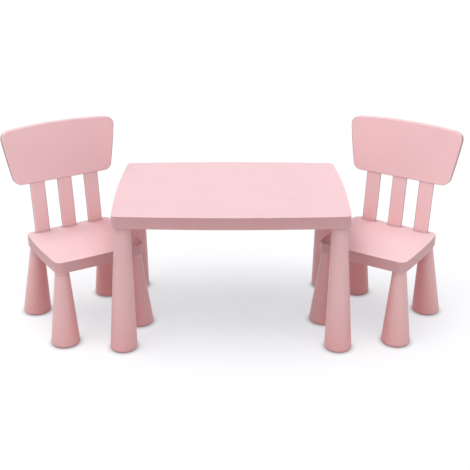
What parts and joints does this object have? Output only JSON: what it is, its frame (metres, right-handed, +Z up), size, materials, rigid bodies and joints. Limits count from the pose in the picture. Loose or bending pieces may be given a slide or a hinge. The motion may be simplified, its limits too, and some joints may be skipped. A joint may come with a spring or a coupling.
{
  "type": "kids table and chairs",
  "caption": "Moulded plastic children's table with a bowed rectangular top on conical legs, with matching slat-backed chairs turned in at its ends.",
  "frame": {"origin": "on the floor under the middle of the table", "axes": "+X along the table towards the right-hand chair, +Y from the table's front edge to its back edge, +Z up"},
  "size_m": [1.5525, 0.557, 0.68],
  "materials": {
    "top_plastic": "fine matte moulded texture, pale pink",
    "underside_plastic": "fine matte moulded texture, pale pink",
    "leg_plastic": "satin moulded plastic, pale pink",
    "back_plastic": "satin moulded plastic, pale pink",
    "screw_steel": "zinc plated"
  },
  "bodies": {
    "table": {"table_top": "top_plastic", "table_underside": "underside_plastic", "table_leg_screws": "screw_steel", "table_front_left_leg": "leg_plastic", "table_front_right_leg": "leg_plastic", "table_rear_left_leg": "leg_plastic", "table_rear_right_leg": "leg_plastic", "table_front_left_foot_cap": "leg_plastic", "table_front_right_foot_cap": "leg_plastic", "table_rear_left_foot_cap": "leg_plastic", "table_rear_right_foot_cap": "leg_plastic"},
    "left_chair": {"left_chair_seat": "top_plastic", "left_chair_seat_underside": "underside_plastic", "left_chair_leg_screws": "screw_steel", "left_chair_backrest_front": "back_plastic", "left_chair_backrest_rear": "back_plastic", "left_chair_slat_screws": "screw_steel", "left_chair_front_left_leg": "leg_plastic", "left_chair_front_right_leg": "leg_plastic", "left_chair_rear_left_leg": "leg_plastic", "left_chair_rear_right_leg": "leg_plastic", "left_chair_front_left_foot_cap": "leg_plastic", "left_chair_front_right_foot_cap": "leg_plastic", "left_chair_rear_left_foot_cap": "leg_plastic", "left_chair_rear_right_foot_cap": "leg_plastic", "left_chair_left_slat": "back_plastic", "left_chair_middle_slat": "back_plastic", "left_chair_right_slat": "back_plastic"},
    "right_chair": {"right_chair_seat": "top_plastic", "right_chair_seat_underside": "underside_plastic", "right_chair_leg_screws": "screw_steel", "right_chair_backrest_front": "back_plastic", "right_chair_backrest_rear": "back_plastic", "right_chair_slat_screws": "screw_steel", "right_chair_front_left_leg": "leg_plastic", "right_chair_front_right_leg": "leg_plastic", "right_chair_rear_left_leg": "leg_plastic", "right_chair_rear_right_leg": "leg_plastic", "right_chair_front_left_foot_cap": "leg_plastic", "right_chair_front_right_foot_cap": "leg_plastic", "right_chair_rear_left_foot_cap": "leg_plastic", "right_chair_rear_right_foot_cap": "leg_plastic", "right_chair_left_slat": "back_plastic", "right_chair_middle_slat": "back_plastic", "right_chair_right_slat": "back_plastic"}
  },
  "joints": [
    {"name": "left_chair_slide", "type": "slide", "parent": "table", "child": "left_chair", "axis": [-0.521, 0.8536, 0], "range_m": [-0.05, 0.3]},
    {"name": "right_chair_slide", "type": "slide", "parent": "table", "child": "right_chair", "axis": [0.5534, 0.8329, 0], "range_m": [-0.05, 0.3]}
  ]
}
